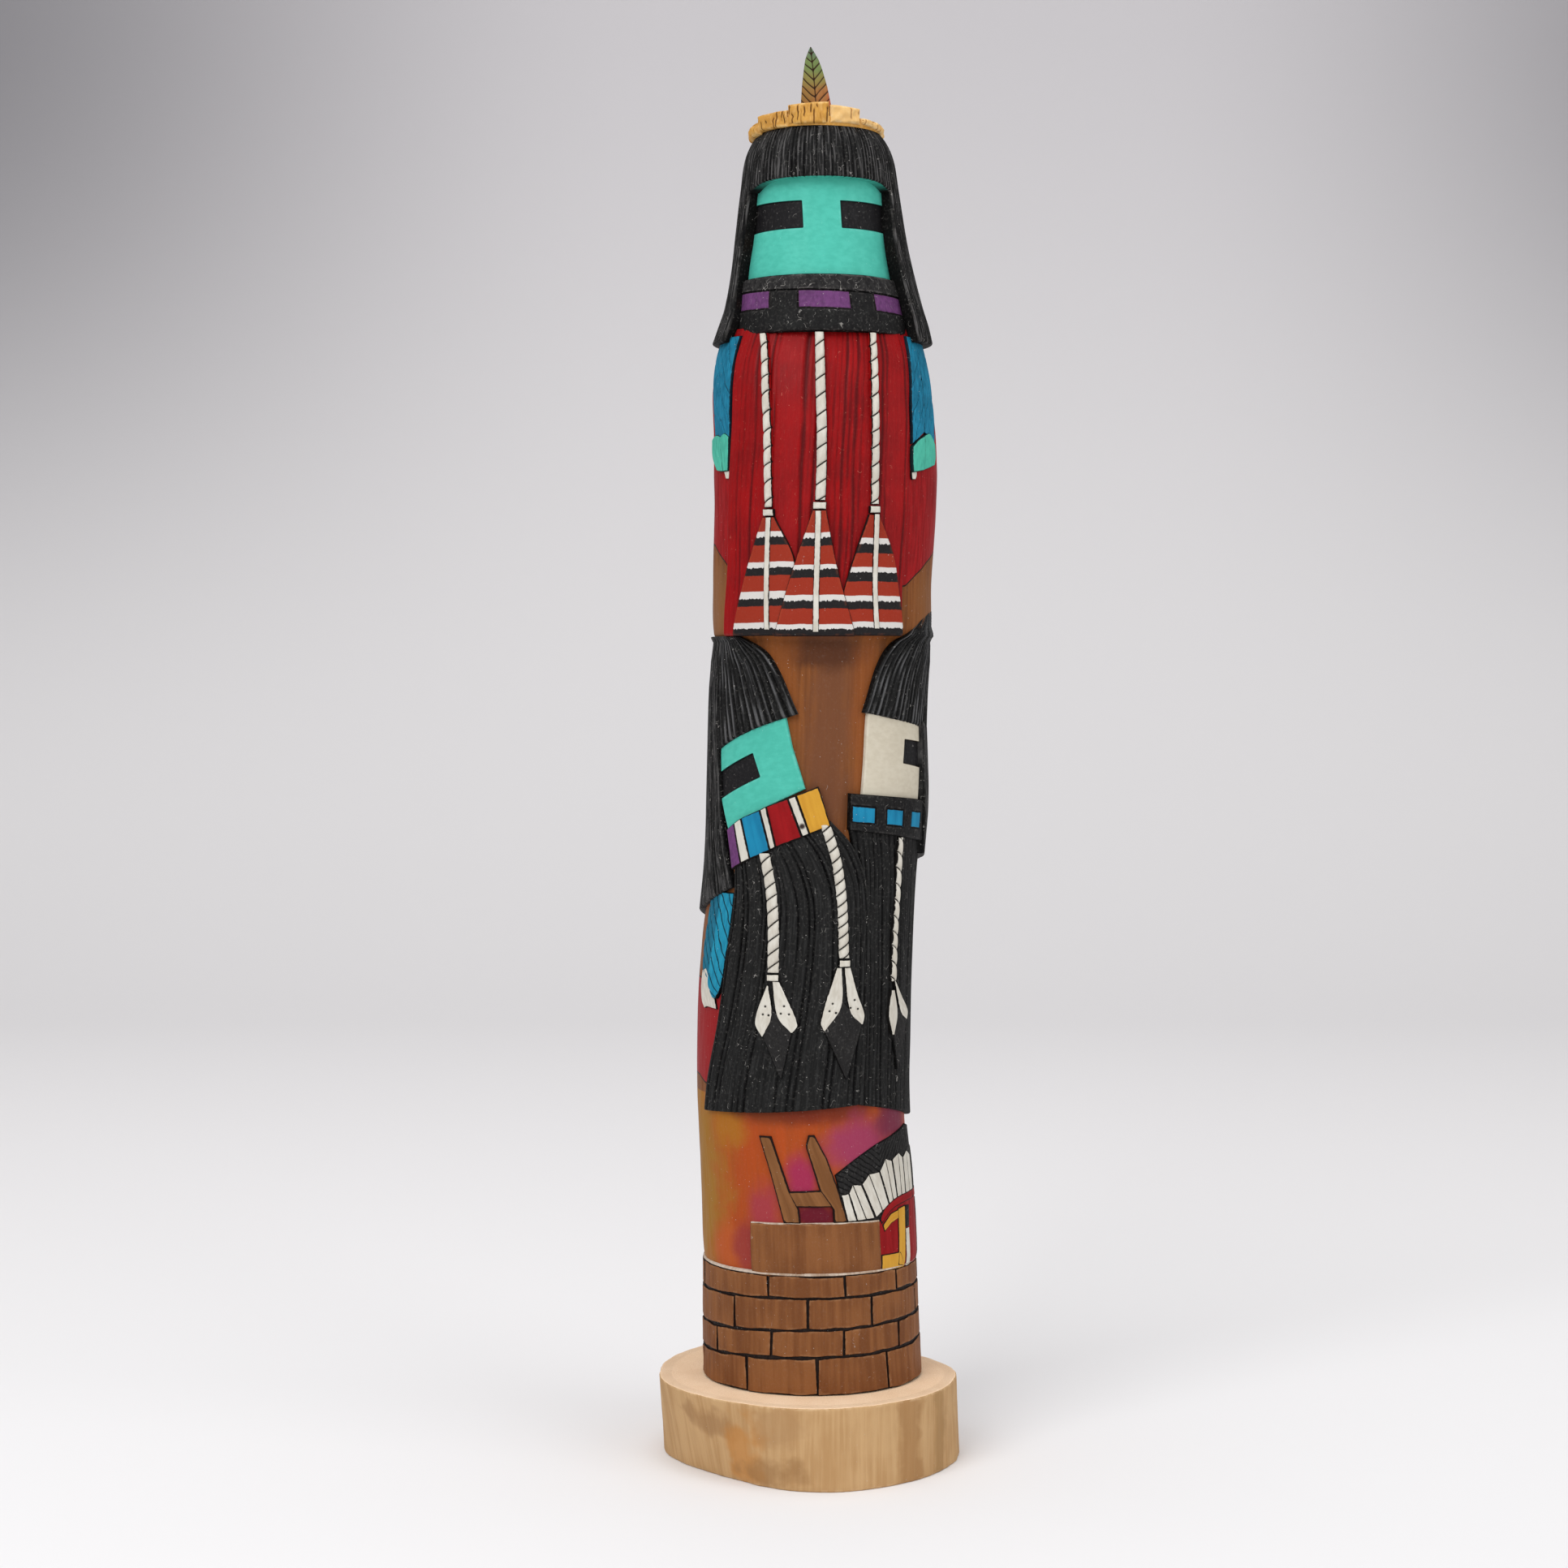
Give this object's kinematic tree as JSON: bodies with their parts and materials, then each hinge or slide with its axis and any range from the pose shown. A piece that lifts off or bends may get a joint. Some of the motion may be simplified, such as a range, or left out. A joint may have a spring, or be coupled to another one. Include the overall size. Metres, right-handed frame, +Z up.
{
  "type": "kachina doll",
  "caption": "Carved and painted wooden kachina doll: a long-haired head with a crown feather above profile heads with beards, an evening panel and a brick wall, on a natural wood slab.",
  "frame": {"origin": "under the middle of the carved trunk, on the plane that the base slab rests on", "axes": "+Z up along the figure, +X to the viewer's right, the figure faces -Y"},
  "size_m": [0.0953, 0.1, 0.4481],
  "materials": {
    "painted_wood": "matt painted and burnt root wood",
    "painted_feather": "matt painted wood",
    "natural_wood": "bare sawn and peeled wood"
  },
  "bodies": {
    "root": {"carved_figure": "painted_wood", "crown_feather": "painted_feather", "base_slab": "natural_wood"}
  },
  "joints": []
}
